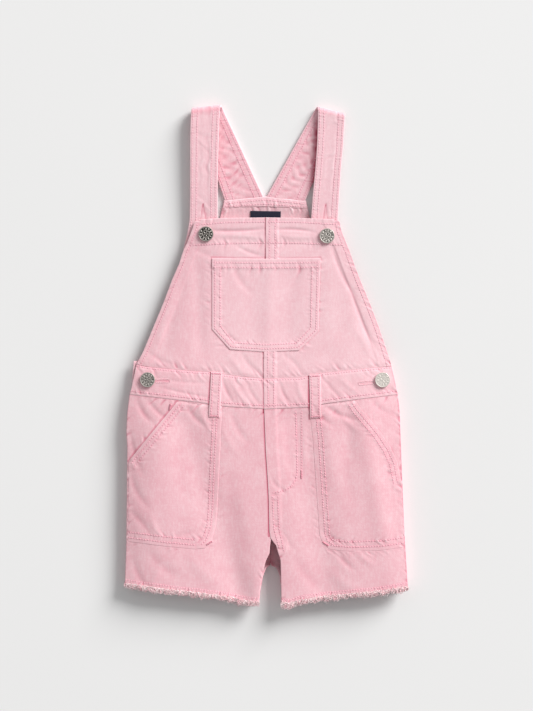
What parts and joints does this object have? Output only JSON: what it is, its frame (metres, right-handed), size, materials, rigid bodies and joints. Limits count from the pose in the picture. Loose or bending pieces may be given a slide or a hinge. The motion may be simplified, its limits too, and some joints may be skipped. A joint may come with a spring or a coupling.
{
  "type": "denim short overalls",
  "caption": "Toddler denim short overalls laid flat, with bib, patch pockets, shoulder straps, belt loops, jeans buttons and frayed hems.",
  "frame": {"origin": "on the flat underside of the upper back panel, on the garment's centre line just above the waistband", "axes": "+Y up the garment to the shoulder folds, +Z out of its front, away from the surface it lies on, +X across it to the viewer's right"},
  "size_m": [0.2826, 0.5045, 0.0188],
  "materials": {
    "denim_pink": "garment-dyed cotton denim, matt",
    "denim_fray": "frayed cotton yarn",
    "label_navy": "woven label, plain",
    "button_nickel": "antique nickel"
  },
  "bodies": {
    "root": {"bib_l": "denim_pink", "bib_r": "denim_pink", "bib_pocket": "denim_pink", "waistband_front_l": "denim_pink", "waistband_front_r": "denim_pink", "front_leg_l": "denim_pink", "front_leg_r": "denim_pink", "front_pocket_l": "denim_pink", "front_pocket_r": "denim_pink", "belt_loop_l": "denim_pink", "belt_loop_r": "denim_pink", "strap_l": "denim_pink", "strap_r": "denim_pink", "back_bib": "denim_pink", "back_facing": "denim_pink", "back_waistband": "denim_pink", "back_leg_l": "denim_pink", "back_leg_r": "denim_pink", "hem_fray_front_l": "denim_fray", "hem_fray_front_r": "denim_fray", "hem_fray_back_l": "denim_fray", "hem_fray_back_r": "denim_fray", "label": "label_navy", "button_bib_l": "button_nickel", "button_bib_r": "button_nickel", "button_waist_l": "button_nickel", "button_waist_r": "button_nickel"}
  },
  "joints": []
}
